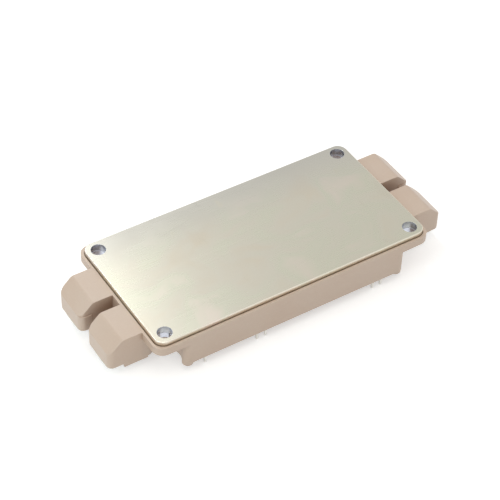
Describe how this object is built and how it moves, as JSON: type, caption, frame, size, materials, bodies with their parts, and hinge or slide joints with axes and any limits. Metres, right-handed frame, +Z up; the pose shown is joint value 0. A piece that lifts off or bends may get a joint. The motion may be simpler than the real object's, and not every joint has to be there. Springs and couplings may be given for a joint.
{
  "type": "igbt module",
  "caption": "Flat half-bridge power transistor module lying on its pins, metal baseplate up, tan housing, screw terminals at both ends and pins along the sides",
  "frame": {"origin": "on the surface under the pin tips, below the centre of the module", "axes": "+X along the module towards the two output terminals, +Y across it towards the row with more signal pins, +Z up through the baseplate"},
  "size_m": [0.1506, 0.062, 0.0205],
  "materials": {
    "nickel_plate": "copper plate with a warm matt nickel plating, faintly stained",
    "tan_plastic": "tan glass-filled polyester, matt moulded faces",
    "silicone_seal": "cured silicone adhesive bead",
    "silicone_gel": "soft clear silicone gel",
    "bush_steel": "zinc-plated steel sleeve",
    "nut_steel": "zinc-plated steel nut",
    "tinned_copper": "punched copper strip, matt tin plating",
    "tinned_pin": "punched copper pin, matt tin plating",
    "solder": "soft solder",
    "copper": "bare copper layer bonded to the ceramic",
    "white_ceramic": "white alumina",
    "silicon": "silicon chip with a metallised upper face",
    "thermistor_ceramic": "chip thermistor with metal end caps",
    "aluminium_wire": "bond wire of soft aluminium"
  },
  "bodies": {
    "root": {"baseplate": "nickel_plate", "housing": "tan_plastic", "lid": "tan_plastic", "seal": "silicone_seal", "gel": "silicone_gel", "bush_1": "bush_steel", "bush_2": "bush_steel", "bush_3": "bush_steel", "bush_4": "bush_steel", "terminal_nut_1": "nut_steel", "terminal_nut_2": "nut_steel", "terminal_nut_3": "nut_steel", "terminal_nut_4": "nut_steel", "terminal_dc_plus": "tinned_copper", "terminal_dc_minus": "tinned_copper", "terminal_ac_1": "tinned_copper", "terminal_ac_2": "tinned_copper", "front_pin_1": "tinned_pin", "front_pin_2": "tinned_pin", "front_pin_3": "tinned_pin", "front_pin_4": "tinned_pin", "front_pin_5": "tinned_pin", "back_pin_1": "tinned_pin", "back_pin_2": "tinned_pin", "back_pin_3": "tinned_pin", "back_pin_4": "tinned_pin", "back_pin_5": "tinned_pin", "back_pin_6": "tinned_pin", "substrate_solder_1": "solder", "substrate_solder_2": "solder", "substrate_solder_3": "solder", "back_copper_1": "copper", "back_copper_2": "copper", "back_copper_3": "copper", "ceramic_1": "white_ceramic", "ceramic_2": "white_ceramic", "ceramic_3": "white_ceramic", "tracks_1": "copper", "tracks_2": "copper", "tracks_3": "copper", "igbt_chip_1": "silicon", "igbt_chip_2": "silicon", "igbt_chip_3": "silicon", "igbt_chip_4": "silicon", "igbt_chip_5": "silicon", "igbt_chip_6": "silicon", "diode_chip_1": "silicon", "diode_chip_2": "silicon", "diode_chip_3": "silicon", "diode_chip_4": "silicon", "diode_chip_5": "silicon", "diode_chip_6": "silicon", "chip_solder": "solder", "thermistor": "thermistor_ceramic", "chip_wires": "aluminium_wire", "link_wires": "aluminium_wire", "signal_wires": "aluminium_wire"}
  },
  "joints": []
}
